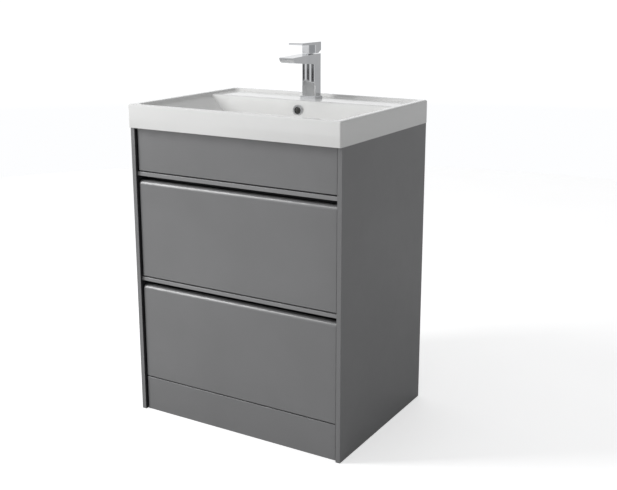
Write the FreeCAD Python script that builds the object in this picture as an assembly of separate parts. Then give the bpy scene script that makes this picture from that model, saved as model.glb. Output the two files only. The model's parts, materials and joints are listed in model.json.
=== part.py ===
"""Floor-standing bathroom vanity: a handleless two-drawer cabinet, its ceramic basin and mixer tap.

Frame: millimetres, +Z up, front facing -Y, origin on the floor at the middle of the footprint.
"""
import os
import FreeCAD
import Part

os.makedirs("parts", exist_ok=True)

V = FreeCAD.Vector
X_AXIS = V(1, 0, 0)
Y_AXIS = V(0, 1, 0)
Z_AXIS = V(0, 0, 1)

# ---- overall sizes ----
WIDTH = 600.0
BASIN_DEPTH = 457.0
BASIN_BOTTOM = 753.0
RIM_TOP = 811.0
SIDE_THICK = 12.0
CARCASS_FRONT = -221.5
CARCASS_BACK = 223.5
FRONT_RECESS = 7.0
BOARD = 15.0
FRONT_THICK = 18.0
SIDE_GAP = 4.0

# ---- heights of the front, from the floor up ----
PLINTH_TOP = 91.0
LOWER_FRONT = (94.0, 344.0)
LOWER_RAIL = (356.0, 365.5)
UPPER_FRONT = (369.0, 619.0)
UPPER_RAIL = (631.0, 641.0)
FASCIA = (644.5, 753.0)

# ---- derived faces of the carcass ----
HALF_WIDTH = WIDTH / 2
HALF_DEPTH = BASIN_DEPTH / 2
INNER_X = HALF_WIDTH - SIDE_THICK
FRONT_X = INNER_X - SIDE_GAP
FACE_Y = CARCASS_FRONT + FRONT_RECESS
FACE_BACK_Y = FACE_Y + FRONT_THICK
FLOOR_PANEL_Z = PLINTH_TOP - BOARD

# ---- edges ----
EDGE_R = 0.8
PULL_R = 10.0

# ---- handle rails and finger channels ----
RAIL_DEPTH = 38.0
CHANNEL_THICK = 3.0
CHANNEL_HEIGHT = 43.0

# ---- drawers ----
RUNNER_SPACE = 13.0
BOX_X = INNER_X - RUNNER_SPACE
BOX_WALL = 15.0
BOX_LENGTH = 350.0
BOX_BASE = 8.0
BOX_BASE_LIFT = 10.0
UPPER_BOX = (385.0, 545.0)
LOWER_BOX = (108.0, 290.0)
BRACKET = (15.0, 15.0, 60.0)
TRAP_HALF_X = 90.0
TRAP_DEPTH = 133.0
TRAP_WALL = 12.0

# ---- three-member ball runners ----
RUNNER_LENGTH = 350.0
RUNNER_SETBACK = 6.5
RUNNER_SHEET = 1.2
RUNNER_Z = {"upper": 430.0, "lower": 150.0}

# ---- basin ----
SKIRT = 14.0
RIM_SIDE = 17.0
RIM_FRONT = 15.0
RIM_BACK = 14.0
DECK_Z = 804.5
DECK_UNDER_Z = 792.0
BOWL_BACK_Y = 92.0
BOWL_FLOOR_Z = 712.0
BOWL_WALL = 11.0
RIM_EDGE_R = 4.0
CORNER_R = 3.5
DRAIN_Y = -45.0
DRAIN_HOLE_R = 23.0

# ---- overflow and waste ----
OVERFLOW_Z = 780.0
OVERFLOW_R = 11.0
OVERFLOW_RING_R = 14.5
OVERFLOW_DEPTH = 17.0
OVERFLOW_CHAMBER = (14.0, 17.0, 14.0)
CHAMBER_WALL = 7.0
WASTE_R = 20.95
WASTE_BORE_R = 18.6
WASTE_NECK_R = 20.2
WASTE_END_Z = 612.0
FLANGE_R = 32.0
PLUG_R = 31.0

# ---- tap ----
TAP_Y = 152.5
TAP_HALF_X = 20.5
TAP_DEPTH = 32.0
TAP_BOW = 1.6
TAP_FRONT_R = 4.0
TAP_BACK_R = 2.5
TAP_TOP = 922.0
TAP_FOOT_LIP = 2.3
TAP_FOOT_Z = 812.0
TAP_HOLE_R = 17.5
SPOUT_TIP_Y = 28.5
SPOUT_TIP_TOP = 918.0
SPOUT_TIP_UNDER = 904.0
SPOUT_ROOT_UNDER = 895.0
AERATOR_Y = 55.0
AERATOR_R = 9.0
LEVER_TOP = 952.0
LEVER_TIP_Y = 74.5
LEVER_BLOCK_Y = 140.5
LEVER_NECK_Y = 124.5
LEVER_NECK_HALF = 10.0
PIVOT_Z = 924.0
INLET_X = 9.0
INLET_Y = TAP_Y + 5.0
INLET_R = 4.5
INLET_LENGTH = 12.0
WATERWAY_R = 3.0
TAP_POCKET = (14.0, 13.0, 11.5)
STUD_Y = TAP_Y - 8.0
STUD_R = 4.0
STUD_TOP = 830.0

saved = []


def save(name, shape):
    """Write one named piece to its own STEP file."""
    shape = shape.removeSplitter()
    if not shape.isValid():
        raise ValueError("invalid shape: " + name)
    shape.exportStep("parts/" + name + ".step")
    saved.append((name, len(shape.Solids), shape.Volume))


def block(x, y, z):
    """A box from (low, high) pairs."""
    size = (x[1] - x[0], y[1] - y[0], z[1] - z[0])
    return Part.makeBox(size[0], size[1], size[2], V(x[0], y[0], z[0]))


def rod(radius, start, length, axis=Z_AXIS):
    """A cylinder from a start point along an axis."""
    return Part.makeCylinder(radius, length, V(*start), axis)


def mirrored(shape):
    """The same shape on the other side of the YZ plane."""
    return shape.mirror(V(0, 0, 0), X_AXIS)


def group(shapes):
    """Several separate solids kept in one node."""
    return Part.makeCompound(shapes)


def rounded(shape, radius, wanted):
    """Fillet the straight edges whose middle point passes the test."""
    edges = []
    for edge in shape.Edges:
        middle = edge.valueAt((edge.FirstParameter + edge.LastParameter) / 2)
        direction = edge.tangentAt(edge.FirstParameter)
        if wanted(middle, direction):
            edges.append(edge)
    return shape.makeFillet(radius, edges)


def on_plane(value, target):
    """True where a coordinate lies on a face."""
    return abs(value - target) < 0.01


def profile_along_x(points, x_low, x_high):
    """Extrude a closed outline given as (y, z) points along X."""
    corners = [V(x_low, y, z) for y, z in points]
    wire = Part.makePolygon(corners + corners[:1])
    return Part.Face(wire).extrude(V(x_high - x_low, 0, 0))


# ---------------------------------------------------------------- carcass
DOWEL_R = 4.0
DOWEL_IN_SIDE = 8.0
DOWEL_LENGTH = 28.0
BACK_TOP_RAIL_Z = (653.0, BASIN_BOTTOM)
BACK_LOW_RAIL_Z = (PLINTH_TOP, PLINTH_TOP + 80.0)
BACK_RAIL_Y = (CARCASS_BACK - BOARD, CARCASS_BACK)
FRONT_RAIL_Y = (FACE_BACK_Y, FACE_BACK_Y + BOARD)
FRONT_RAIL_Z = (UPPER_RAIL[1], 720.0)
WALL_PLATE = 2.5
WALL_LEG = 40.0
WALL_BRACKET_Z = (600.0, 640.0)
WALL_HOLE_X = 262.0
WALL_HOLE_R = 3.5
SCREW_R = 2.0
SCREW_HEAD_R = 4.0
SCREW_HEAD = 2.0
SCREW_IN_PANEL = 9.5


def dowel_points():
    """Where the dowels enter the side panels, as (y, z)."""
    points = []
    for y in (-150.0, 15.0, 170.0):
        points.append((y, FLOOR_PANEL_Z + BOARD / 2))
    for z in (678.0, 728.0):
        points.append(((BACK_RAIL_Y[0] + BACK_RAIL_Y[1]) / 2, z))
    for z in (111.0, 151.0):
        points.append(((BACK_RAIL_Y[0] + BACK_RAIL_Y[1]) / 2, z))
    for z in (667.0, 703.0):
        points.append(((FRONT_RAIL_Y[0] + FRONT_RAIL_Y[1]) / 2, z))
    return points


def dowels():
    """The beech dowels of the right-hand joints."""
    start_x = INNER_X + DOWEL_IN_SIDE - DOWEL_LENGTH
    return [rod(DOWEL_R, (start_x, y, z), DOWEL_LENGTH, X_AXIS) for y, z in dowel_points()]


def bracket_screws():
    """The screws that hold the right-hand wall bracket to its side panel."""
    screws = []
    for y, z in ((196.0, 610.0), (196.0, 630.0)):
        head_x = INNER_X - WALL_PLATE - SCREW_HEAD
        head = rod(SCREW_HEAD_R, (head_x, y, z), SCREW_HEAD, X_AXIS)
        length = WALL_PLATE + SCREW_IN_PANEL
        shank = rod(SCREW_R, (head_x + SCREW_HEAD, y, z), length, X_AXIS)
        screws.append(head.fuse(shank))
    return screws


def side_panel():
    """The right side panel, which runs to the floor, with its dowel and screw holes."""
    panel = block((INNER_X, HALF_WIDTH), (CARCASS_FRONT, CARCASS_BACK), (0.0, BASIN_BOTTOM))
    panel = rounded(panel, EDGE_R, lambda m, d: abs(d.z) > 0.9)
    for pin in dowels() + bracket_screws():
        panel = panel.cut(pin)
    return panel


def between_sides(y, z):
    """A board between the side panels, bored for the dowels at its ends."""
    board = block((-INNER_X, INNER_X), y, z)
    for pin in dowels():
        board = board.cut(pin).cut(mirrored(pin))
    return board


def front_board(z, top_radius=EDGE_R):
    """A painted board of the front, with softened edges and a chosen top front edge."""
    board = block((-FRONT_X, FRONT_X), (FACE_Y, FACE_BACK_Y), z)
    board = rounded(board, top_radius, lambda m, d: on_plane(m.z, z[1]) and on_plane(m.y, FACE_Y))

    def other_front_edge(m, d):
        return m.y < FACE_Y + EDGE_R and not m.z > z[1] - top_radius and abs(d.y) < 0.1

    return rounded(board, EDGE_R, other_front_edge)


def wall_bracket():
    """A bent steel angle inside the right side panel, with a hole for the wall bolt."""
    low, high = WALL_BRACKET_Z
    wing = block((INNER_X - WALL_PLATE, INNER_X), (CARCASS_BACK - WALL_LEG, CARCASS_BACK), (low, high))
    leg = block((INNER_X - WALL_LEG, INNER_X), (CARCASS_BACK - WALL_PLATE, CARCASS_BACK), (low, high))
    bracket = wing.fuse(leg)
    hole = rod(WALL_HOLE_R, (WALL_HOLE_X, CARCASS_BACK - 10, (low + high) / 2), 20, Y_AXIS)
    bracket = bracket.cut(hole)
    for screw in bracket_screws():
        bracket = bracket.cut(screw)
    return bracket


save("side_panel_right", side_panel())
save("side_panel_left", mirrored(side_panel()))
save("bottom_panel", between_sides((FACE_BACK_Y, CARCASS_BACK), (FLOOR_PANEL_Z, PLINTH_TOP)))
save("back_rail_top", between_sides(BACK_RAIL_Y, BACK_TOP_RAIL_Z))
save("back_rail_bottom", between_sides(BACK_RAIL_Y, BACK_LOW_RAIL_Z))
save("front_rail", between_sides(FRONT_RAIL_Y, FRONT_RAIL_Z))
save("carcass_dowels", group(dowels() + [mirrored(pin) for pin in dowels()]))
save("wall_brackets", group([wall_bracket(), mirrored(wall_bracket())]))
save("bracket_screws", group(bracket_screws() + [mirrored(s) for s in bracket_screws()]))

save("plinth_panel", front_board((0.0, PLINTH_TOP)))
save("fascia_panel", front_board(FASCIA))

PLINTH_BLOCK = (22.0, 22.0, 50.0)
plinth_block = block(
    (INNER_X - PLINTH_BLOCK[0], INNER_X),
    (FACE_BACK_Y, FACE_BACK_Y + PLINTH_BLOCK[1]),
    (15.0, 15.0 + PLINTH_BLOCK[2]),
)
save("plinth_corner_blocks", group([plinth_block, mirrored(plinth_block)]))


def handle_rail(z):
    """The painted lip above a finger gap, running from wall to wall."""
    rail = block((-INNER_X, INNER_X), (FACE_Y, FACE_Y + RAIL_DEPTH), z)
    return rounded(rail, EDGE_R, lambda m, d: on_plane(m.y, FACE_Y) and abs(d.x) > 0.9)


def channel_back(rail_bottom):
    """The dark strip that closes the finger gap behind a drawer front."""
    back = FACE_Y + RAIL_DEPTH
    return block(
        (-INNER_X, INNER_X),
        (back - CHANNEL_THICK, back),
        (rail_bottom - CHANNEL_HEIGHT, rail_bottom),
    )


save("upper_handle_rail", handle_rail(UPPER_RAIL))
save("lower_handle_rail", handle_rail(LOWER_RAIL))
save("upper_channel_back", channel_back(UPPER_RAIL[0]))
save("lower_channel_back", channel_back(LOWER_RAIL[0]))

# ---------------------------------------------------------------- runners
RUNNER_START_Y = FACE_BACK_Y + RUNNER_SETBACK


def channel_member(near, web_near, half_height, centre_z):
    """One C-shaped steel member of the right runner.

    near and web_near are distances from the side panel to the flanges' and the web's open side.
    """
    web = (web_near, web_near + RUNNER_SHEET)
    flange = (min(near, web[0]), max(near, web[1]))
    y = (RUNNER_START_Y, RUNNER_START_Y + RUNNER_LENGTH)
    low = centre_z - half_height
    high = centre_z + half_height
    member = block((INNER_X - web[1], INNER_X - web[0]), y, (low, high))
    for z in (low, high - RUNNER_SHEET):
        member = member.fuse(block((INNER_X - flange[1], INNER_X - flange[0]), y, (z, z + RUNNER_SHEET)))
    return member


for level, height in RUNNER_Z.items():
    members = {
        "fixed": channel_member(8.0, 0.0, 22.5, height),
        "middle": channel_member(9.5, 3.0, 19.8, height),
        "inner": channel_member(5.2, RUNNER_SPACE - RUNNER_SHEET, 17.1, height),
    }
    for kind, member in members.items():
        save(level + "_runner_" + kind + "_right", member)
        save(level + "_runner_" + kind + "_left", mirrored(member))

# ---------------------------------------------------------------- drawers
BOX_INNER_X = BOX_X - BOX_WALL
BOX_BACK_Y = FACE_BACK_Y + BOX_LENGTH
BACK_BOARD_Y = (BOX_BACK_Y - BOX_WALL, BOX_BACK_Y)


def drawer_side(z):
    """The right wall of a drawer box."""
    wall = block((BOX_INNER_X, BOX_X), (FACE_BACK_Y, BOX_BACK_Y), z)
    return rounded(wall, EDGE_R, lambda m, d: on_plane(m.z, z[1]) and abs(d.y) > 0.9)


def drawer_base(z):
    """The panel that the drawer's contents stand on."""
    low = z[0] + BOX_BASE_LIFT
    return block((-BOX_INNER_X, BOX_INNER_X), (FACE_BACK_Y, BACK_BOARD_Y[0]), (low, low + BOX_BASE))


def front_brackets(z):
    """The two blocks that fix a drawer front to its box."""
    low = z[0] + 40.0
    bracket = block(
        (BOX_INNER_X - BRACKET[0], BOX_INNER_X),
        (FACE_BACK_Y, FACE_BACK_Y + BRACKET[1]),
        (low, low + BRACKET[2]),
    )
    bracket = rounded(bracket, 1.5, lambda m, d: m.x < BOX_INNER_X - 1 and abs(d.x) < 0.1)
    return group([bracket, mirrored(bracket)])


def trap_space(z, margin):
    """The space kept free for the trap, widened by a margin."""
    return block(
        (-TRAP_HALF_X - margin, TRAP_HALF_X + margin),
        (BOX_BACK_Y - TRAP_DEPTH - margin, BOX_BACK_Y),
        z,
    )


for level, front_z, box_z in (("upper", UPPER_FRONT, UPPER_BOX), ("lower", LOWER_FRONT, LOWER_BOX)):
    save(level + "_drawer_front", front_board(front_z, PULL_R))
    save(level + "_drawer_side_right", drawer_side(box_z))
    save(level + "_drawer_side_left", mirrored(drawer_side(box_z)))
    save(level + "_drawer_front_brackets", front_brackets(box_z))

save("lower_drawer_base", drawer_base(LOWER_BOX))
save("lower_drawer_back", block((-BOX_INNER_X, BOX_INNER_X), BACK_BOARD_Y, LOWER_BOX))

trap_edge = TRAP_HALF_X + TRAP_WALL
save("upper_drawer_base", drawer_base(UPPER_BOX).cut(trap_space(UPPER_BOX, TRAP_WALL)))
upper_back = block((trap_edge, BOX_INNER_X), BACK_BOARD_Y, UPPER_BOX)
save("upper_drawer_back_boards", group([upper_back, mirrored(upper_back)]))
save("upper_drawer_trap_surround", trap_space(UPPER_BOX, TRAP_WALL).cut(trap_space(UPPER_BOX, 0.0)))

# ---------------------------------------------------------------- basin
BOWL_FRONT_Y = -HALF_DEPTH + RIM_FRONT
BOWL_HALF_X = HALF_WIDTH - RIM_SIDE


def rounded_outline(x_half, y_low, y_high, radius, z):
    """A closed rectangle with round corners at one height."""
    box_wire = Part.makePolygon([
        V(-x_half, y_low, z), V(x_half, y_low, z),
        V(x_half, y_high, z), V(-x_half, y_high, z), V(-x_half, y_low, z),
    ])
    prism = Part.Face(box_wire).extrude(V(0, 0, 1))
    prism = rounded(prism, radius, lambda m, d: abs(d.z) > 0.9)
    for face in prism.Faces:
        if on_plane(face.CenterOfMass.z, z):
            return face.OuterWire
    raise ValueError("no outline")


def bowl(grow):
    """The hollow of the bowl, or its outside when grown by the wall thickness."""
    depth = DECK_Z - BOWL_FLOOR_Z
    above = () if grow else (-0.05,)
    sections = []
    for step in above + (0.0, 0.12, 0.35, 0.60, 0.80, 0.92, 0.98, 1.0):
        # the side walls lean in; every wall turns softly into the floor
        down = max(step, 0.0)
        turn = max(down - 0.78, 0.0) / 0.22
        soft = 24.0 * (1 - (1 - turn ** 2) ** 0.5)
        side = 118.0 * down + soft
        front = 75.0 * down + soft
        back = 24.0 * down + soft
        z = DECK_Z - step * depth
        if grow:
            z = z - grow * down
        radius = 24.0 + 26.0 * down
        sections.append(rounded_outline(
            BOWL_HALF_X - side + grow,
            BOWL_FRONT_Y + front - grow,
            BOWL_BACK_Y - back + grow,
            radius, z,
        ))
    return Part.makeLoft(sections, True, False)


def basin():
    """The ceramic basin: a rim, a tap deck, a bowl and a hollow underside."""
    slab = block((-HALF_WIDTH, HALF_WIDTH), (-HALF_DEPTH, HALF_DEPTH), (BASIN_BOTTOM, RIM_TOP))
    slab = rounded(slab, CORNER_R, lambda m, d: abs(d.z) > 0.9)
    slab = rounded(slab, RIM_EDGE_R - 1.0, lambda m, d: on_plane(m.z, RIM_TOP))
    under = block(
        (-HALF_WIDTH + SKIRT, HALF_WIDTH - SKIRT),
        (-HALF_DEPTH + SKIRT, HALF_DEPTH - SKIRT),
        (BASIN_BOTTOM, DECK_UNDER_Z),
    )
    under = rounded(under, 6.0, lambda m, d: abs(d.z) > 0.9)
    body = slab.cut(under).fuse(bowl(BOWL_WALL)).fuse(overflow_box(CHAMBER_WALL))
    recess = block(
        (-BOWL_HALF_X, BOWL_HALF_X),
        (BOWL_FRONT_Y, HALF_DEPTH - RIM_BACK),
        (DECK_Z, RIM_TOP + 1),
    )
    recess = rounded(recess, 20.0, lambda m, d: abs(d.z) > 0.9)
    body = body.cut(bowl(0.0)).cut(recess).cut(overflow_box(0.0))
    body = body.cut(rod(DRAIN_HOLE_R, (0, DRAIN_Y, BOWL_FLOOR_Z - 40), 60))
    body = body.cut(rod(TAP_HOLE_R, (0, TAP_Y, DECK_UNDER_Z - 5), 30))
    wall_y = overflow_wall_y()
    body = body.cut(rod(OVERFLOW_R, (0, wall_y - 20, OVERFLOW_Z), 20 + OVERFLOW_DEPTH, Y_AXIS))
    return body


def overflow_box(grow):
    """The chamber behind the overflow hole, or its outside when grown by its wall."""
    half_x, length, half_z = OVERFLOW_CHAMBER
    start_y = overflow_wall_y() + BOWL_WALL
    return block(
        (-half_x - grow, half_x + grow),
        (start_y, start_y + length + grow),
        (OVERFLOW_Z - half_z - grow, min(OVERFLOW_Z + half_z + grow, DECK_UNDER_Z + 2.0)),
    )


def overflow_wall_y():
    """Where the bowl's back wall is at the height of the overflow's middle."""
    down = (DECK_Z - OVERFLOW_Z) / (DECK_Z - BOWL_FLOOR_Z)
    return BOWL_BACK_Y - 24.0 * down


def overflow_ring():
    """The chrome ring pushed into the overflow hole."""
    wall_y = overflow_wall_y()
    flange = rod(OVERFLOW_RING_R, (0, wall_y - 3.0, OVERFLOW_Z), 6.0, Y_AXIS)
    flange = rounded(flange, 1.2, lambda m, d: m.y < wall_y - 2.9)
    flange = flange.cut(bowl_wall_behind(wall_y))
    sleeve = rod(OVERFLOW_R, (0, wall_y - 1.0, OVERFLOW_Z), 7.0, Y_AXIS)
    bore = rod(OVERFLOW_R - 1.5, (0, wall_y - 10.0, OVERFLOW_Z), 30.0, Y_AXIS)
    return flange.fuse(sleeve).cut(bore).cut(basin())


def bowl_wall_behind(wall_y):
    """Everything behind the bowl's back wall, for trimming the ring to it."""
    lean = 24.0 / (DECK_Z - BOWL_FLOOR_Z)
    reach = 40.0
    points = [
        (wall_y + lean * reach, OVERFLOW_Z + reach),
        (wall_y - lean * reach, OVERFLOW_Z - reach),
        (wall_y + 3 * reach, OVERFLOW_Z - reach),
        (wall_y + 3 * reach, OVERFLOW_Z + reach),
    ]
    return profile_along_x(points, -reach, reach)


save("basin", basin())
save("overflow_ring", overflow_ring())

# ---------------------------------------------------------------- waste
SEAL = 1.0
FLANGE_THICK = 2.5
FLANGE_TOP = BOWL_FLOOR_Z + SEAL + FLANGE_THICK
BOWL_UNDER_Z = BOWL_FLOOR_Z - BOWL_WALL
WASHER = 4.0
NUT_THICK = 10.0
NUT_UNDER_Z = BOWL_UNDER_Z - WASHER - NUT_THICK
TAIL_TOP_Z = NUT_UNDER_Z - 2.0
SPIDER_Z = (672.0, 680.0)
STEM_R = 4.0


def ring(outer, inner, z):
    """A flat ring around the drain's axis."""
    height = z[1] - z[0]
    return rod(outer, (0, DRAIN_Y, z[0]), height).cut(rod(inner, (0, DRAIN_Y, z[0]), height))


waste = ring(FLANGE_R, WASTE_BORE_R, (BOWL_FLOOR_Z + SEAL, FLANGE_TOP))
waste = rounded(waste, 1.0, lambda m, d: on_plane(m.z, FLANGE_TOP) and abs(m.x) > WASTE_R)
waste = waste.fuse(ring(WASTE_NECK_R, WASTE_BORE_R, (TAIL_TOP_Z, BOWL_FLOOR_Z + SEAL)))
waste = waste.fuse(ring(WASTE_R, WASTE_BORE_R, (WASTE_END_Z, TAIL_TOP_Z)))
save("waste_body", waste)
save("waste_flange_seal", ring(FLANGE_R - 3, DRAIN_HOLE_R, (BOWL_FLOOR_Z, BOWL_FLOOR_Z + SEAL)))
save("waste_washer", ring(34.0, WASTE_NECK_R, (BOWL_UNDER_Z - WASHER, BOWL_UNDER_Z)))


def hexagon(corner_radius, centre, height):
    """A hexagonal block standing on a centre point."""
    corners = [V(corner_radius, 0, 0)]
    for _ in range(6):
        corners.append(FreeCAD.Rotation(Z_AXIS, 60).multVec(corners[-1]))
    solid = Part.Face(Part.makePolygon(corners[:6] + corners[:1])).extrude(V(0, 0, height))
    solid.translate(V(*centre))
    return solid


nut = hexagon(30.0, (0, DRAIN_Y, NUT_UNDER_Z), NUT_THICK)
save("waste_nut", nut.cut(rod(WASTE_NECK_R, (0, DRAIN_Y, NUT_UNDER_Z), NUT_THICK)))

spider = ring(WASTE_BORE_R, WASTE_BORE_R - 2, SPIDER_Z).fuse(ring(8.0, STEM_R + 0.3, SPIDER_Z))
for turn in (0, 120, 240):
    arm = block((7.0, WASTE_BORE_R - 1), (-1.5, 1.5), SPIDER_Z)
    arm.rotate(V(0, 0, 0), Z_AXIS, turn)
    arm.translate(V(0, DRAIN_Y, 0))
    spider = spider.fuse(arm)
save("waste_plug_guide", spider)

cap = rod(PLUG_R, (0, DRAIN_Y, FLANGE_TOP + 0.5), 5.0)
cap = rounded(cap, 3.5, lambda m, d: on_plane(m.z, FLANGE_TOP + 5.5))
plug = cap.fuse(rod(STEM_R, (0, DRAIN_Y, SPIDER_Z[0] - 12), FLANGE_TOP + 2 - SPIDER_Z[0] + 12))
save("waste_plug", plug)

# ---------------------------------------------------------------- tap
BORE_LOW = 880.0
CARTRIDGE_R = 12.5
NUT_R = 14.2
NUT_Z = (913.0, 921.5)
DRIVER_R = 9.0
DRIVER_Z = (906.0, 921.5)
STEM_HALF = 3.0
TAP_FRONT_Y = TAP_Y - TAP_DEPTH / 2
TAP_BACK_Y = TAP_Y + TAP_DEPTH / 2


def tap_column():
    """The tap's upright: a softly bowed front between rounded edges."""
    front_y = TAP_FRONT_Y + TAP_BOW
    left, right = V(-TAP_HALF_X, front_y, DECK_Z), V(TAP_HALF_X, front_y, DECK_Z)
    back_right, back_left = V(TAP_HALF_X, TAP_BACK_Y, DECK_Z), V(-TAP_HALF_X, TAP_BACK_Y, DECK_Z)
    outline = Part.Wire([
        Part.Arc(left, V(0, TAP_FRONT_Y, DECK_Z), right).toShape(),
        Part.makeLine(right, back_right),
        Part.makeLine(back_right, back_left),
        Part.makeLine(back_left, left),
    ])
    column = Part.Face(outline).extrude(V(0, 0, TAP_TOP - DECK_Z))
    column = rounded(column, TAP_FRONT_R, lambda m, d: abs(d.z) > 0.9 and m.y < TAP_Y)
    return rounded(column, TAP_BACK_R, lambda m, d: abs(d.z) > 0.9 and m.y > TAP_BACK_Y - 0.1)


def tap_foot():
    """The low foot around the tap's base, bevelled towards the body."""
    half_x = TAP_HALF_X + TAP_FOOT_LIP
    y = (TAP_FRONT_Y - TAP_FOOT_LIP, TAP_BACK_Y + TAP_FOOT_LIP)
    foot = block((-half_x, half_x), y, (DECK_Z, TAP_FOOT_Z))
    foot = foot.makeChamfer(2.0, [e for e in foot.Edges if on_plane(e.CenterOfMass.z, TAP_FOOT_Z)])
    return foot.cut(tap_column())


def spout_outline():
    """The spout's side view as a face: a tapering bar with a rounded lower tip."""
    nose = V(0, SPOUT_TIP_Y, SPOUT_TIP_TOP - 2.0)
    top_tip = V(0, SPOUT_TIP_Y + 2.0, SPOUT_TIP_TOP)
    top_root = V(0, TAP_FRONT_Y + 8.0, TAP_TOP)
    under_root = V(0, TAP_FRONT_Y + 8.0, SPOUT_ROOT_UNDER)
    under_tip = V(0, SPOUT_TIP_Y + 15.0, SPOUT_TIP_UNDER)
    chin = V(0, SPOUT_TIP_Y + 5.0, SPOUT_TIP_UNDER + 4.0)
    edges = [
        Part.LineSegment(nose, top_tip).toShape(),
        Part.LineSegment(top_tip, top_root).toShape(),
        Part.LineSegment(top_root, under_root).toShape(),
        Part.LineSegment(under_root, under_tip).toShape(),
        Part.Arc(under_tip, chin, nose).toShape(),
    ]
    return Part.Face(Part.Wire(edges))


def tap_body():
    """The tap's column and spout, bored for the cartridge, the water and the fixings."""
    spout = spout_outline().extrude(V(2 * TAP_HALF_X, 0, 0))
    spout.translate(V(-TAP_HALF_X, 0, 0))
    body = tap_column().fuse(spout).removeSplitter()
    body = body.cut(rod(CARTRIDGE_R, (0, TAP_Y, BORE_LOW), TAP_TOP - BORE_LOW + 5))
    body = body.cut(rod(NUT_R, (0, TAP_Y, NUT_Z[0]), TAP_TOP - NUT_Z[0] + 5))
    body = body.cut(block((-8.0, 8.0), (AERATOR_Y, TAP_Y - CARTRIDGE_R + 3), (911.5, 914.5)))
    body = body.cut(rod(AERATOR_R, (0, AERATOR_Y, SPOUT_TIP_UNDER - 5), 13.0))
    half_x, half_y, height = TAP_POCKET
    pocket = block((-half_x, half_x), (TAP_Y - half_y, TAP_Y + half_y), (DECK_Z, DECK_Z + height))
    body = body.cut(rounded(pocket, 4.0, lambda m, d: abs(d.z) > 0.9))
    for x in (-INLET_X, INLET_X):
        body = body.cut(rod(INLET_R, (x, INLET_Y, DECK_Z + height), INLET_LENGTH))
        water_z = DECK_Z + height + INLET_LENGTH
        body = body.cut(rod(WATERWAY_R, (x, INLET_Y, water_z), BORE_LOW + 1 - water_z))
    return body.cut(rod(STUD_R, (0, STUD_Y, DECK_Z), STUD_TOP - DECK_Z))


def lever():
    """The flat lever: a thin plate, a thick block behind and a narrow neck between."""
    back = TAP_BACK_Y
    bottom = PIVOT_Z - 0.6
    profile = [
        (LEVER_TIP_Y, LEVER_TOP - 5.0), (LEVER_TIP_Y, LEVER_TOP - 1.0), (LEVER_TIP_Y + 2.0, LEVER_TOP),
        (back, LEVER_TOP), (back, 931.0), (TAP_Y + 1.0, bottom),
        (LEVER_BLOCK_Y, bottom), (LEVER_BLOCK_Y, LEVER_TOP - 7.0),
    ]
    solid = profile_along_x(profile, -TAP_HALF_X, TAP_HALF_X)
    solid = rounded(solid, 0.8, lambda m, d: on_plane(m.z, LEVER_TOP) and not on_plane(m.y, back))
    neck = block(
        (-LEVER_NECK_HALF, LEVER_NECK_HALF), (LEVER_NECK_Y, LEVER_BLOCK_Y), (bottom, LEVER_TOP - 3.0),
    )
    neck = rounded(neck, 1.5, lambda m, d: abs(d.z) > 0.9 and m.y < LEVER_BLOCK_Y - 1)
    socket = block((-STEM_HALF, STEM_HALF), (TAP_Y - STEM_HALF, TAP_Y + STEM_HALF), (PIVOT_Z - 2, 938.0))
    return solid.fuse(neck).cut(socket)


def driver():
    """The turning carrier in the cartridge, slotted so that the stem can tilt in it."""
    body = rod(DRIVER_R, (0, TAP_Y, DRIVER_Z[0]), DRIVER_Z[1] - DRIVER_Z[0])
    slot = block(
        (-STEM_HALF - 0.4, STEM_HALF + 0.4),
        (TAP_Y - 7.6, TAP_Y + 4.4),
        (DRIVER_Z[0] + 3.0, DRIVER_Z[1]),
    )
    return body.cut(slot)


cartridge = rod(CARTRIDGE_R, (0, TAP_Y, BORE_LOW), NUT_Z[0] - BORE_LOW)
cartridge = cartridge.cut(rod(DRIVER_R + 0.3, (0, TAP_Y, DRIVER_Z[0] - 0.4), 20.0))
for x in (-5.0, 5.0):
    cartridge = cartridge.cut(rod(2.5, (x, TAP_Y, BORE_LOW), 12.0))
nut_height = NUT_Z[1] - NUT_Z[0]
cartridge_nut = rod(NUT_R, (0, TAP_Y, NUT_Z[0]), nut_height)
cartridge_nut = cartridge_nut.cut(rod(DRIVER_R + 0.3, (0, TAP_Y, NUT_Z[0]), nut_height))
stem = block((-STEM_HALF, STEM_HALF), (TAP_Y - STEM_HALF, TAP_Y + STEM_HALF), (913.0, 938.0))
aerator = rod(AERATOR_R, (0, AERATOR_Y, SPOUT_TIP_UNDER - 0.5), 5.0)
aerator = aerator.cut(rod(AERATOR_R - 2, (0, AERATOR_Y, SPOUT_TIP_UNDER - 0.5), 1.5))
washer = rod(24.0, (0, TAP_Y, DECK_UNDER_Z - 2.5), 2.5)
washer = washer.cut(block((-15.0, 15.0), (TAP_Y - 2, TAP_Y + 30), (DECK_UNDER_Z - 3, DECK_UNDER_Z + 1)))
washer = washer.cut(rod(STUD_R, (0, STUD_Y, DECK_UNDER_Z - 5), 10))
stud_nut = hexagon(7.5, (0, STUD_Y, DECK_UNDER_Z - 12.5), 10.0)
stud_nut = stud_nut.cut(rod(STUD_R, (0, STUD_Y, DECK_UNDER_Z - 15), 15))

save("tap_foot", tap_foot())
save("tap_body", tap_body())
save("tap_aerator", aerator)
save("tap_cartridge", cartridge)
save("tap_cartridge_nut", cartridge_nut)
save("tap_fixing_stud", rod(STUD_R, (0, STUD_Y, DECK_UNDER_Z - 40), STUD_TOP - DECK_UNDER_Z + 40))
save("tap_fixing_washer", washer)
save("tap_fixing_nut", stud_nut)
save("tap_driver", driver())
save("tap_stem", stem)
save("tap_lever", lever())

for name, solids, volume in saved:
    print(f"{name:32s} solids {solids:2d}  volume {volume / 1000:9.1f} cm3")
print(len(saved), "nodes")
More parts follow.
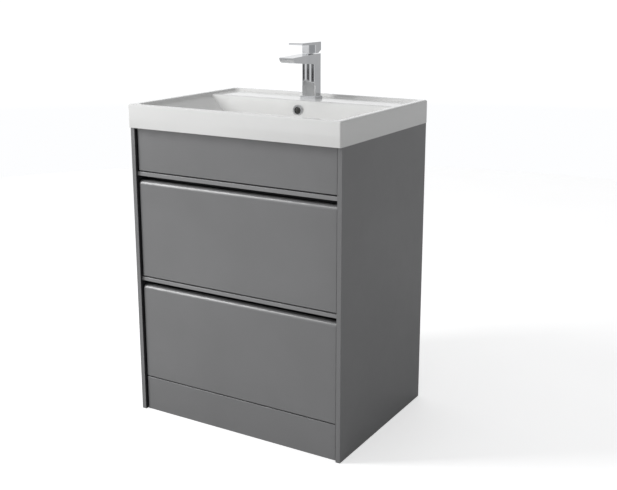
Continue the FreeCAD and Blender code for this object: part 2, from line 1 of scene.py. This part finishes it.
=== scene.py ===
"""Looks for the bathroom vanity: its materials, the glazed basin, a pale studio and the camera."""
import json
import math

import bmesh
import bpy
import numpy as np
from mathutils import Matrix, Vector


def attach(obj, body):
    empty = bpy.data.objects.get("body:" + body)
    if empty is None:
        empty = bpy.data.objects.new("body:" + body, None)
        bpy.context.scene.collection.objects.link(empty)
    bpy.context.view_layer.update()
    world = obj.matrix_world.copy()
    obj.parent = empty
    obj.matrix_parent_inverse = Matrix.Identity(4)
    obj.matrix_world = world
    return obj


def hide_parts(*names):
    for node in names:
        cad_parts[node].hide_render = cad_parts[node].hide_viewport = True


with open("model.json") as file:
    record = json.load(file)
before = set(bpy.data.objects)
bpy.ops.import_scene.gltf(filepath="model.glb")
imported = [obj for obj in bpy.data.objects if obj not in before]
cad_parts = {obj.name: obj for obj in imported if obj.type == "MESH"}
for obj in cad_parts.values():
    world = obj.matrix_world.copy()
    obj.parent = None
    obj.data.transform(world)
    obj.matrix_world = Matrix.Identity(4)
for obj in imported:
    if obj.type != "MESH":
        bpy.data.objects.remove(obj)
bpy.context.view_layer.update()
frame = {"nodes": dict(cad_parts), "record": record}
NODES = frame["nodes"]
MM = 0.001


# ---------------------------------------------------------------- camera
# Seen from the right and from above. The lens shift is small.
CAMERA_PLACE = Vector((1.2891, -2.0265, 1.1037))
CAMERA_TURN = math.radians(30.77)
CAMERA_DIP = math.radians(13.63)
CAMERA_LENS = 55.94
CAMERA_SENSOR = 36.0
CAMERA_SHIFT = -0.05


def make_camera():
    """The main view."""
    data = bpy.data.cameras.new("camera")
    data.lens = CAMERA_LENS
    data.sensor_width = CAMERA_SENSOR
    data.shift_y = CAMERA_SHIFT
    camera = bpy.data.objects.new("camera", data)
    camera.location = CAMERA_PLACE
    camera.rotation_euler = (math.pi / 2 - CAMERA_DIP, 0, CAMERA_TURN)
    bpy.context.scene.collection.objects.link(camera)
    bpy.context.scene.camera = camera


# ---------------------------------------------------------------- materials
# The bevel's normal leaves a gap of about 0.29 on a square edge; this makes it about 1.
EDGE_GAIN = 3.0
# A noise texture keeps almost wholly within this range.
NOISE_LOW = 0.3
NOISE_HIGH = 0.7

PAINT_DARKEST = 0.174
PAINT_LIGHTEST = 0.191
# Edge colour: partly rubbed wear, partly a painted highlight where the rounded edges catch the light.
PAINT_RUBBED_AND_HIGHLIGHT = (0.4, 0.4, 0.405)
PAINT_ROUGH = (0.29, 0.35)
PAINT_EDGE = 1.4 * MM
# Painted light: the handle rails' paint is lighter by this factor, for the light their lips catch.
RAIL_PAINTED_LIGHT = 1.3
# The side panels' inner faces, within this distance of the middle, in metres, are painted near-black:
# painted shade in the gap beside the fronts.
PANEL_INNER_X = 0.2885
PANEL_INNER_SHADE = (0.03, 0.03, 0.032)


class Shader:
    """A small helper that wires a Principled material out of procedural nodes."""

    def __init__(self, name, **inputs):
        """A material with some inputs of its Principled node set; an underscore stands for a space."""
        self.material = bpy.data.materials.new(name)
        self.material.use_nodes = True
        self.tree = self.material.node_tree
        self.main = self.tree.nodes["Principled BSDF"]
        self.place = self.node("ShaderNodeTexCoord").outputs["Object"]
        for label, value in inputs.items():
            self.main.inputs[label.replace("_", " ")].default_value = value

    def node(self, kind, **settings):
        """A new node with the given settings."""
        made = self.tree.nodes.new(kind)
        for label, value in settings.items():
            setattr(made, label, value)
        return made

    def link(self, source, target):
        """Join an output to an input."""
        self.tree.links.new(source, target)

    def stretched(self, scale):
        """Object coordinates in metres, scaled along each axis."""
        mapping = self.node("ShaderNodeMapping")
        mapping.inputs["Scale"].default_value = scale
        self.link(self.place, mapping.inputs["Vector"])
        return mapping.outputs["Vector"]

    def noise(self, scale, detail=2.0, place=None):
        """A noise texture, in object coordinates unless told otherwise."""
        made = self.node("ShaderNodeTexNoise")
        made.inputs["Scale"].default_value = scale
        made.inputs["Detail"].default_value = detail
        self.link(place or self.place, made.inputs["Vector"])
        return made.outputs["Fac"]

    def spread(self, fac, low, high):
        """A noise mapped onto a range."""
        made = self.node("ShaderNodeMapRange")
        made.inputs["From Min"].default_value = NOISE_LOW
        made.inputs["From Max"].default_value = NOISE_HIGH
        made.inputs["To Min"].default_value = low
        made.inputs["To Max"].default_value = high
        self.link(fac, made.inputs["Value"])
        return made.outputs["Result"]

    def mix(self, fac, first, second):
        """A colour between two, by a factor that varies over the surface."""
        made = self.node("ShaderNodeMix", data_type="RGBA")
        self.link(fac, made.inputs["Factor"])
        for socket, value in ((made.inputs["A"], first), (made.inputs["B"], second)):
            if isinstance(value, tuple):
                socket.default_value = (*value, 1.0)
            else:
                self.link(value, socket)
        return made.outputs["Result"]

    def math(self, operation, first, second=None):
        """One math node of two numbers or sockets."""
        made = self.node("ShaderNodeMath", operation=operation)
        for socket, value in zip(made.inputs, (first, second)):
            if isinstance(value, (int, float)):
                socket.default_value = value
            elif value is not None:
                self.link(value, socket)
        return made.outputs["Value"]

    def edges(self, radius):
        """About 1 on sharp edges and 0 on faces."""
        bevel = self.node("ShaderNodeBevel", samples=4)
        bevel.inputs["Radius"].default_value = radius
        flat = self.node("ShaderNodeNewGeometry")
        dot = self.node("ShaderNodeVectorMath", operation="DOT_PRODUCT")
        self.link(bevel.outputs["Normal"], dot.inputs[0])
        self.link(flat.outputs["Normal"], dot.inputs[1])
        gap = self.math("SUBTRACT", 1.0, dot.outputs["Value"])
        return self.math("MULTIPLY", gap, EDGE_GAIN)

    def bump(self, height, depth):
        """Relief of a real depth in metres."""
        made = self.node("ShaderNodeBump")
        made.inputs["Strength"].default_value = 1.0
        made.inputs["Distance"].default_value = depth
        self.link(height, made.inputs["Height"])
        if self.main.inputs["Normal"].links:
            self.link(self.main.inputs["Normal"].links[0].from_socket, made.inputs["Normal"])
        self.link(made.outputs["Normal"], self.main.inputs["Normal"])

    def to(self, label, socket):
        """Feed one input of the Principled node."""
        self.link(socket, self.main.inputs[label])


def grey_paint(name, tone=1.0, inner_x=None):
    """Satin mid-grey lacquer, lighter on its edges by wear and a painted highlight; near-black painted
    shade on a panel's inner face.
    """
    s = Shader(name, Specular_IOR_Level=0.8)
    cloud = s.spread(s.noise(5.0, 3.0), 0.0, 1.0)
    low, high = PAINT_DARKEST * tone, PAINT_LIGHTEST * tone
    body = s.mix(cloud, (low, low, low + 0.002), (high, high, high + 0.003))
    # the edges are lighter: wear and a painted highlight
    colour = s.mix(s.edges(PAINT_EDGE), body, PAINT_RUBBED_AND_HIGHLIGHT)
    # painted shade: the panel's inner face is coloured near-black
    if inner_x:
        axes = s.node("ShaderNodeSeparateXYZ")
        s.link(s.place, axes.inputs[0])
        inside = s.math("LESS_THAN", s.math("ABSOLUTE", axes.outputs["X"]), inner_x)
        colour = s.mix(inside, colour, PANEL_INNER_SHADE)
    s.to("Base Color", colour)
    s.to("Roughness", s.spread(s.noise(35.0, 4.0), *PAINT_ROUGH))
    s.bump(s.noise(55.0, 1.0), 0.02 * MM)
    return s.material


def board(name, light, dark, rough):
    """Melamine-faced board with a pressed linen texture."""
    s = Shader(name)
    warp = s.noise(1.0, 2.0, s.stretched((900.0, 900.0, 60.0)))
    weft = s.noise(1.0, 2.0, s.stretched((60.0, 60.0, 900.0)))
    linen = s.math("MULTIPLY", warp, weft)
    s.to("Base Color", s.mix(s.math("MULTIPLY", linen, 2.4), dark, light))
    s.to("Roughness", s.spread(s.noise(60.0, 3.0), rough - 0.05, rough + 0.06))
    s.bump(linen, 0.05 * MM)
    return s.material


def glaze():
    """White sanitary ceramic: a clear glaze with faint waves over a bright body."""
    s = Shader("ceramic_glaze", Coat_Weight=0.6, Coat_Roughness=0.03, Coat_IOR=1.5)
    s.to("Base Color", s.mix(s.spread(s.noise(4.0), 0, 1), (0.785, 0.785, 0.772), (0.81, 0.81, 0.80)))
    s.to("Roughness", s.spread(s.noise(18.0, 3.0), 0.12, 0.2))
    s.bump(s.noise(9.0, 1.0), 0.08 * MM)
    s.bump(s.noise(420.0, 1.0), 0.003 * MM)
    return s.material


def chrome():
    """Polished chrome plate with faint water marks."""
    s = Shader("chrome_plate", Metallic=1.0)
    s.to("Base Color", s.mix(s.spread(s.noise(30.0), 0, 1), (0.70, 0.71, 0.725), (0.76, 0.765, 0.775)))
    s.to("Roughness", s.spread(s.noise(90.0, 4.0), 0.03, 0.07))
    s.bump(s.noise(60.0, 1.0), 0.006 * MM)
    return s.material


def zinc():
    """Zinc-plated sheet steel with rolling marks along its length."""
    s = Shader("zinc_steel", Metallic=1.0, Anisotropic=0.4)
    marks = s.noise(1.0, 4.0, s.stretched((900.0, 25.0, 900.0)))
    s.to("Base Color", s.mix(s.spread(marks, 0, 1), (0.52, 0.53, 0.55), (0.68, 0.69, 0.70)))
    s.to("Roughness", s.spread(marks, 0.22, 0.42))
    s.bump(marks, 0.01 * MM)
    return s.material


def plastic(name, colour, rough):
    """Moulded plastic with a fine spark-eroded grain."""
    s = Shader(name)
    darker = tuple(0.85 * c for c in colour)
    s.to("Base Color", s.mix(s.spread(s.noise(40.0), 0, 1), darker, colour))
    s.to("Roughness", s.spread(s.noise(200.0, 3.0), rough - 0.06, rough + 0.06))
    s.bump(s.noise(1500.0, 2.0), 0.02 * MM)
    return s.material


def brass():
    """Turned brass."""
    s = Shader("turned_brass", Metallic=1.0)
    rings = s.noise(1.0, 3.0, s.stretched((120.0, 120.0, 2500.0)))
    s.to("Base Color", s.mix(s.spread(rings, 0, 1), (0.62, 0.45, 0.2), (0.82, 0.64, 0.34)))
    s.to("Roughness", s.spread(rings, 0.2, 0.34))
    s.bump(rings, 0.01 * MM)
    return s.material


def beech():
    """Beech dowel with its grain."""
    s = Shader("beech_dowel")
    grain = s.noise(1.0, 4.0, s.stretched((60.0, 900.0, 900.0)))
    s.to("Base Color", s.mix(s.spread(grain, 0, 1), (0.45, 0.3, 0.17), (0.66, 0.48, 0.3)))
    s.to("Roughness", s.spread(grain, 0.5, 0.7))
    s.bump(grain, 0.1 * MM)
    return s.material


def slot_materials():
    """One material per material slot of the record."""
    return {
        "grey_front": grey_paint("grey_paint"),
        "carcass_board": board("grey_board", (0.17, 0.17, 0.175), (0.13, 0.13, 0.135), 0.5),
        "drawer_board": board("drawer_board", (0.62, 0.62, 0.61), (0.5, 0.5, 0.49), 0.42),
        "beech": beech(),
        # The finger channel is near-black: partly a dark lacquer, partly painted shade that deepens the
        # finger gap.
        "channel_dark": plastic("channel_lacquer_painted_shade", (0.018, 0.018, 0.02), 0.5),
        "ceramic": glaze(),
        "chrome": chrome(),
        "zinc_steel": zinc(),
        "fitting_plastic": plastic("fitting_plastic", (0.4, 0.4, 0.4), 0.45),
        "plastic_white": plastic("white_plastic", (0.75, 0.75, 0.73), 0.4),
        "aerator_grey": plastic("aerator_plastic", (0.2, 0.2, 0.21), 0.4),
        "rubber_seal": plastic("rubber", (0.02, 0.02, 0.02), 0.65),
        "brass": brass(),
    }


MATERIALS = slot_materials()


def dress_nodes():
    """Give every CAD node its slot's material."""
    for part in frame["record"]["subparts"]:
        mesh = NODES[part["node"]].data
        mesh.materials.clear()
        mesh.materials.append(MATERIALS[part["material_slot"]])
    # the side panels carry painted shade on their inner faces
    panel = grey_paint("grey_panel_painted_shade", inner_x=PANEL_INNER_X)
    for side in ("side_panel_left", "side_panel_right"):
        NODES[side].data.materials[0] = panel
    # the rails' lighter paint is painted light
    rail = grey_paint("grey_rail_painted_light", tone=RAIL_PAINTED_LIGHT)
    for name in ("upper_handle_rail", "lower_handle_rail"):
        NODES[name].data.materials[0] = rail


# ---------------------------------------------------------------- basin
# All in millimetres, from the floor and the middle of the cabinet's footprint.
BASIN_HALF = (300.0, 228.5)
RIM_TOP = 811.0
DECK = 804.5
DECK_UNDER = 792.0
SKIRT_FOOT = 753.0
SKIRT = 14.0
WALL = 11.0
CORNER = 4.0
EDGE_ROUND = 5.0

# the rim's inner edge: half its width, its front and its back
RIM_INNER = (283.0, -213.5, 214.5)
RIM_INNER_CORNER = 20.0
RIM_FALL = 2.2
RIM_SOFT = 4.0

BOWL_BACK = 92.0
BOWL_DEPTH = 92.5
# how steeply the bowl's sides, front and back fall
SLOPES = (BOWL_DEPTH / 118, BOWL_DEPTH / 75, BOWL_DEPTH / 24)
FLOOR_FALL = 0.02
FLOOR_LEVEL_R = 36.0
# how widely those walls and the floor blend into each other
FRONT_SOFT = 14.0
BACK_SOFT = 5.0
FLOOR_SOFT = 30.0

# how widely the deck blends into the bowl: at its sides, at the overflow, and what comes on top beside that
DECK_SOFT_SIDE = 9.0
DECK_SOFT_OVERFLOW = 26.0
DECK_SOFT_BESIDE = 26.0
# where those widths change, and over what length
BESIDE_FROM = 25.0
BACK_FROM = 40.0
BACK_LENGTH = 40.0
CHANGE_LENGTH = 60.0

DRAIN = (0.0, -45.0)
DRAIN_R = 23.0
TAP_HOLE = (0.0, 152.5)
TAP_HOLE_R = 17.5
OVERFLOW = (0.0, 85.64, 780.0)
OVERFLOW_R = 11.0
# the start and length of the rods that cut those holes
DRAIN_CUT = (690.0, 40.0)
TAP_CUT = (785.0, 30.0)
OVERFLOW_CUT = (OVERFLOW[1] - 15.0, 28.0)

# the overflow's chamber: half its width, its length and half its height
CHAMBER = (14.0, 17.0, 14.0)
CHAMBER_WALL = 7.0
LAP = 3.0

# the grid's steps, and the stretches across the rim and the bowl's back wall where it is finer
GRID_MARGIN = 7.0
GRID_STEP = 3.0
FINE_STEP = 1.5
FINE_X = ((-293.0, -275.0), (275.0, 293.0))
FINE_Y = ((-221.5, -203.5), (58.0, 98.0), (205.0, 221.5))
# extra lines at these distances from the edge: round the outer edge, and at the skirt's inner face
EDGE_LINES = (0.0, 0.4, 1.0, 1.8, 2.8, 4.0, 5.0, 7.0)
WALL_LINES = (SKIRT - 0.3, SKIRT)
TINY = 1e-6
SHARP = math.radians(38)


def soft_min(a, b, k):
    """The lower of two heights, with the corner between them rounded."""
    h = np.clip(1 - np.abs(a - b) / k, 0, 1)
    return np.minimum(a, b) - h * h * k / 4


def soft_max(a, b, k):
    """The higher of two heights, with the corner between them rounded."""
    return -soft_min(-a, -b, k)


def bowl_depth(x, y, wall):
    """How far the bowl's inside, or its outside when given a wall, lies below the deck."""
    side, front, back = SLOPES
    away = np.hypot(x - DRAIN[0], y - DRAIN[1])
    floor = BOWL_DEPTH - FLOOR_FALL * np.maximum(away - FLOOR_LEVEL_R, 0) + wall
    lean = [wall * math.sqrt(1 + m * m) for m in SLOPES]
    sides = side * (RIM_INNER[0] - np.abs(x)) + lean[0]
    depth = soft_min(front * (y - RIM_INNER[1]) + lean[1], sides, FRONT_SOFT)
    depth = soft_min(depth, back * (BOWL_BACK - y) + lean[2], BACK_SOFT)
    return soft_min(depth, floor, FLOOR_SOFT)


def deck_softness(x, y):
    """How softly the deck falls into the bowl: widely at the back, tightly at the sides."""
    beside = np.clip((np.abs(x) - BESIDE_FROM) / CHANGE_LENGTH, 0, 1)
    at_back = np.clip((y - BACK_FROM) / BACK_LENGTH, 0, 1)
    from_side = np.clip((RIM_INNER[0] - np.abs(x)) / CHANGE_LENGTH, 0, 1)
    wide = DECK_SOFT_OVERFLOW + DECK_SOFT_BESIDE * beside * beside * (3 - 2 * beside)
    return DECK_SOFT_SIDE + (wide - DECK_SOFT_SIDE) * at_back * from_side


def top_height(x, y, edge):
    """The glazed top: rounded outer edge, raised rim, deck and bowl."""
    half_x, front, back = RIM_INNER
    qx = np.abs(x) - half_x + RIM_INNER_CORNER
    qy = np.abs(y - (front + back) / 2) - (back - front) / 2 + RIM_INNER_CORNER
    outside = np.hypot(np.maximum(qx, 0), np.maximum(qy, 0)) + np.minimum(np.maximum(qx, qy), 0)
    inward = RIM_INNER_CORNER - outside
    rim = soft_min(np.full_like(x, RIM_TOP), RIM_TOP - RIM_FALL * inward, RIM_SOFT)
    inside = DECK - soft_max(bowl_depth(x, y, 0.0), np.zeros_like(x), deck_softness(x, y))
    height = soft_max(rim, inside, RIM_SOFT)
    near = np.clip(EDGE_ROUND - edge, 0, EDGE_ROUND)
    return height - EDGE_ROUND + np.sqrt(EDGE_ROUND ** 2 - near ** 2)


def under_height(x, y, edge):
    """The raw underside: skirt, deck and the outside of the bowl."""
    deep = DECK - np.maximum(bowl_depth(x, y, WALL), DECK - DECK_UNDER)
    return np.where(edge < SKIRT, SKIRT_FOOT, deep)


def grid_lines(low, high, step, fine, fine_step):
    """Rising coordinates: close together in the fine ranges, further apart elsewhere."""
    lines = {low, high}
    at = low
    while at < high - TINY:
        lines.add(round(at, 3))
        close = any(a - TINY <= at < b - TINY for a, b in fine)
        at += fine_step if close else step
    return np.array(sorted(lines))


def basin_grid():
    """Plan positions of the grid and the distance of each from the outer edge."""
    half_x, half_y = BASIN_HALF
    x = grid_lines(GRID_MARGIN - half_x, half_x - GRID_MARGIN, GRID_STEP, FINE_X, FINE_STEP)
    y = grid_lines(GRID_MARGIN - half_y, half_y - GRID_MARGIN, GRID_STEP, FINE_Y, FINE_STEP)
    extra = np.array(EDGE_LINES + WALL_LINES)
    x = np.unique(np.round(np.concatenate([x, half_x - extra, extra - half_x]), 3))
    y = np.unique(np.round(np.concatenate([y, half_y - extra, extra - half_y]), 3))
    gx, gy = np.meshgrid(x, y, indexing="ij")
    edge_x, edge_y = half_x - np.abs(gx), half_y - np.abs(gy)
    edge = np.minimum(edge_x, edge_y)
    # the square rings of the grid become arcs in the outer corners
    a = np.clip(1 - edge_x / CORNER, 0, 1)
    b = np.clip(1 - edge_y / CORNER, 0, 1)
    both = (a > 0) & (b > 0)
    scale = np.where(both, np.maximum(a, b) / np.maximum(np.hypot(a, b), 1e-9), 1.0)
    px = np.where(both, np.sign(gx) * (half_x - CORNER + CORNER * a * scale), gx)
    py = np.where(both, np.sign(gy) * (half_y - CORNER + CORNER * b * scale), gy)
    return px, py, edge


def basin_mesh():
    """Top and underside height fields, joined round the edge."""
    px, py, edge = basin_grid()
    rows, cols = px.shape
    top = np.stack([px, py, top_height(px, py, edge)], -1).reshape(-1, 3)
    under = np.stack([px, py, under_height(px, py, edge)], -1).reshape(-1, 3)
    index = np.arange(rows * cols).reshape(rows, cols)
    quads = np.stack([index[:-1, :-1], index[1:, :-1], index[1:, 1:], index[:-1, 1:]], -1).reshape(-1, 4)
    loop = np.concatenate([index[:, 0], index[-1, 1:], index[-2::-1, -1], index[0, -2:0:-1]])
    after = np.roll(loop, -1)
    below = rows * cols
    skirt = np.stack([loop + below, after + below, after, loop], -1)
    faces = np.concatenate([quads, quads[:, ::-1] + below, skirt])
    mesh = bpy.data.meshes.new("basin_glazed")
    mesh.from_pydata((np.concatenate([top, under]) * MM).tolist(), [], faces.tolist())
    mesh.validate()
    return mesh


def cut(target, tool, operation="DIFFERENCE"):
    """Apply one boolean and throw the tool away."""
    step = target.modifiers.new("cut", "BOOLEAN")
    step.operation = operation
    step.object = tool
    step.solver = "MANIFOLD"
    graph = bpy.context.evaluated_depsgraph_get()
    done = bpy.data.meshes.new_from_object(target.evaluated_get(graph))
    target.modifiers.clear()
    target.data = done
    bpy.data.objects.remove(tool)


def linked(name, mesh):
    """An object of a mesh, in the scene."""
    made = bpy.data.objects.new(name, mesh)
    bpy.context.scene.collection.objects.link(made)
    return made


def rod(radius, start, length, axis="Z", sides=96):
    """A closed cylinder from its start point, in millimetres."""
    bm = bmesh.new()
    bmesh.ops.create_cone(
        bm, cap_ends=True, segments=sides, radius1=radius * MM, radius2=radius * MM, depth=length * MM
    )
    turn = Matrix.Rotation(-math.pi / 2, 4, "X") if axis == "Y" else Matrix.Identity(4)
    shift = Vector((0, length / 2, 0)) if axis == "Y" else Vector((0, 0, length / 2))
    bm.transform(Matrix.Translation((Vector(start) + shift) * MM) @ turn)
    mesh = bpy.data.meshes.new("rod")
    bm.to_mesh(mesh)
    bm.free()
    return linked("rod", mesh)


def block(low, high):
    """A closed box between two corners, in millimetres."""
    bm = bmesh.new()
    bmesh.ops.create_cube(bm, size=1.0)
    low, high = Vector(low), Vector(high)
    scale = Matrix.Diagonal((*((high - low) * MM), 1.0))
    bm.transform(Matrix.Translation((low + high) / 2 * MM) @ scale)
    mesh = bpy.data.meshes.new("block")
    bm.to_mesh(mesh)
    bm.free()
    return linked("block", mesh)


def chamber(grow):
    """The overflow's chamber behind the bowl, or its casing when grown by a wall."""
    half_x, length, half_z = CHAMBER
    start = OVERFLOW[1] + WALL
    front = start - (LAP if grow else 0.0)
    top = min(OVERFLOW[2] + half_z + grow, DECK_UNDER + LAP)
    low = (-half_x - grow, front, OVERFLOW[2] - half_z - grow)
    return block(low, (half_x + grow, start + length + grow, top))


def make_basin():
    """The glazed basin, in place of the plain one."""
    basin = linked("basin_glazed", basin_mesh())
    cut(basin, chamber(CHAMBER_WALL), "UNION")
    cut(basin, chamber(0.0))
    cut(basin, rod(DRAIN_R, (*DRAIN, DRAIN_CUT[0]), DRAIN_CUT[1]))
    cut(basin, rod(TAP_HOLE_R, (*TAP_HOLE, TAP_CUT[0]), TAP_CUT[1]))
    cut(basin, rod(OVERFLOW_R, (OVERFLOW[0], OVERFLOW_CUT[0], OVERFLOW[2]), OVERFLOW_CUT[1], "Y"))
    basin.data.materials.clear()
    basin.data.materials.append(MATERIALS["ceramic"])
    basin.data.shade_smooth()
    basin.data.set_sharp_from_angle(angle=SHARP)
    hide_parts("basin")
    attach(basin, "cabinet")


# ---------------------------------------------------------------- floor and light
# The world and the floor are white to the camera; what lights the object is dimmer and has a direction.
FLOOR_R = 3.5
FLOOR_GLOW = 0.55

# The world's strength: the walls, the horizon, and what the ceiling and the left back corner add.
ROOM = 0.5
HORIZON = 0.9
ZENITH = 0.2
BEHIND = 0.2
# The share of light that is missing on the right.
RIGHT_DIM = 0.44
# Dark gaps between the screens in front: a direction from straight in front and half a width, in degrees.
GAPS = ((-47.0, 5.0), (-31.0, 1.5), (-19.0, 1.5), (-75.0, 4.0))
GAP_SOFT = 5.0
GAP_DARK = 0.92
# Where each of these fades in along a unit direction, from nothing to all of it; the left one fades out.
WALL_RISE = (0.08, 0.25)
ZENITH_RISE = (0.6, 0.9)
LEFT_FADE = (-0.2, 0.2)
BEHIND_RISE = (0.0, 0.4)
RIGHT_RISE = (0.0, 0.45)
GAP_DROP = (0.066, 0.085)
WORLD_TINT = (0.985, 0.99, 1.0, 1.0)

AIM = (-0.1, -0.22, 0.5)
KEY_PLACE = (-2.05, -1.62, 2.3)
KEY_SIZE = (0.6, 1.7)
KEY_POWER = 58.0
STRIP_PLACE = (-2.05, -1.92, 2.02)
STRIP_SIZE = (0.6, 2.6)
STRIP_POWER = 80.0


def make_floor():
    """A plain pale floor."""
    bpy.ops.mesh.primitive_circle_add(vertices=96, radius=FLOOR_R, fill_type="NGON")
    floor = bpy.context.object
    floor.name = "floor"
    s = Shader("pale_floor")
    s.to("Base Color", s.mix(s.spread(s.noise(3.0, 3.0), 0, 1), (0.74, 0.74, 0.74), (0.76, 0.76, 0.76)))
    s.to("Roughness", s.spread(s.noise(8.0), 0.55, 0.65))
    s.main.inputs["Emission Color"].default_value = (1.0, 1.0, 1.0, 1.0)
    seen = s.node("ShaderNodeLightPath").outputs["Is Camera Ray"]
    s.to("Emission Strength", s.math("MULTIPLY", seen, FLOOR_GLOW))
    floor.data.materials.append(s.material)


def area_light(name, place, aim, size, power):
    """A soft box that looks at a point."""
    data = bpy.data.lights.new(name, "AREA")
    data.shape = "RECTANGLE"
    data.size, data.size_y = size
    data.energy = power
    lamp = bpy.data.objects.new(name, data)
    lamp.location = place
    lamp.rotation_euler = (Vector(aim) - Vector(place)).to_track_quat("-Z", "Y").to_euler()
    bpy.context.scene.collection.objects.link(lamp)
    return lamp


def world_value(tree, operation, *values):
    """One math node of the world's shader."""
    node = tree.nodes.new("ShaderNodeMath")
    node.operation = operation
    for socket, value in zip(node.inputs, values):
        if isinstance(value, (int, float)):
            socket.default_value = value
        else:
            tree.links.new(value, socket)
    return node.outputs["Value"]


def world_step(tree, value, low, high):
    """0 below low, 1 above high, smooth between."""
    node = tree.nodes.new("ShaderNodeMapRange")
    node.interpolation_type = "SMOOTHSTEP"
    node.inputs["From Min"].default_value = low
    node.inputs["From Max"].default_value = high
    tree.links.new(value, node.inputs["Value"])
    return node.outputs["Result"]


def make_world():
    """A pale studio, dim on the right, with dark gaps between the screens in front."""
    world = bpy.data.worlds.new("studio")
    bpy.context.scene.world = world
    world.use_nodes = True
    tree = world.node_tree
    parts = tree.nodes.new("ShaderNodeSeparateXYZ")
    tree.links.new(tree.nodes.new("ShaderNodeTexCoord").outputs["Generated"], parts.inputs[0])
    x, y, z = (parts.outputs[axis] for axis in "XYZ")

    def value(operation, *values):
        """One math node."""
        return world_value(tree, operation, *values)

    def without(share):
        """What is left of 1."""
        return value("SUBTRACT", 1.0, share)

    def darken(light, share, amount):
        """Take an amount of the light away where share is 1."""
        return value("MULTIPLY", light, without(value("MULTIPLY", share, amount)))

    up = world_step(tree, value("ABSOLUTE", z), *WALL_RISE)
    light = value("SUBTRACT", HORIZON, value("MULTIPLY", up, HORIZON - ROOM))
    light = value("ADD", light, value("MULTIPLY", world_step(tree, z, *ZENITH_RISE), ZENITH))
    left = without(world_step(tree, x, *LEFT_FADE))
    behind = value("MULTIPLY", world_step(tree, y, *BEHIND_RISE), left)
    behind = value("MULTIPLY", behind, without(up))
    light = value("ADD", light, value("MULTIPLY", behind, BEHIND))
    light = darken(light, world_step(tree, x, *RIGHT_RISE), RIGHT_DIM)
    across = value("ARCTAN2", x, value("MULTIPLY", y, -1.0))
    below = world_step(tree, value("MULTIPLY", z, -1.0), *GAP_DROP)
    for middle, half in GAPS:
        away = value("ABSOLUTE", value("SUBTRACT", across, math.radians(middle)))
        clear = world_step(tree, away, math.radians(half), math.radians(half + GAP_SOFT))
        light = darken(light, value("MULTIPLY", below, without(clear)), GAP_DARK)
    seen = tree.nodes.new("ShaderNodeLightPath").outputs["Is Camera Ray"]
    background = tree.nodes["Background"]
    background.inputs["Color"].default_value = WORLD_TINT
    tree.links.new(value("MAXIMUM", seen, light), background.inputs["Strength"])


def painted_boards():
    """A collection of all painted nodes."""
    painted = bpy.data.collections.new("painted_boards")
    for part in frame["record"]["subparts"]:
        if part["material_slot"] == "grey_front":
            painted.objects.link(NODES[part["node"]])
    return painted


def make_light():
    """Soft light: a pale room, a soft box from the upper left and a strip that only the paint mirrors."""
    make_world()
    key = area_light("key", KEY_PLACE, AIM, KEY_SIZE, KEY_POWER)
    key.visible_glossy = False
    strip = area_light("strip", STRIP_PLACE, AIM, STRIP_SIZE, STRIP_POWER)
    strip.visible_diffuse = False
    strip.light_linking.receiver_collection = painted_boards()


make_camera()
dress_nodes()
make_basin()
make_floor()
make_light()
bpy.context.scene.view_settings.view_transform = "Standard"
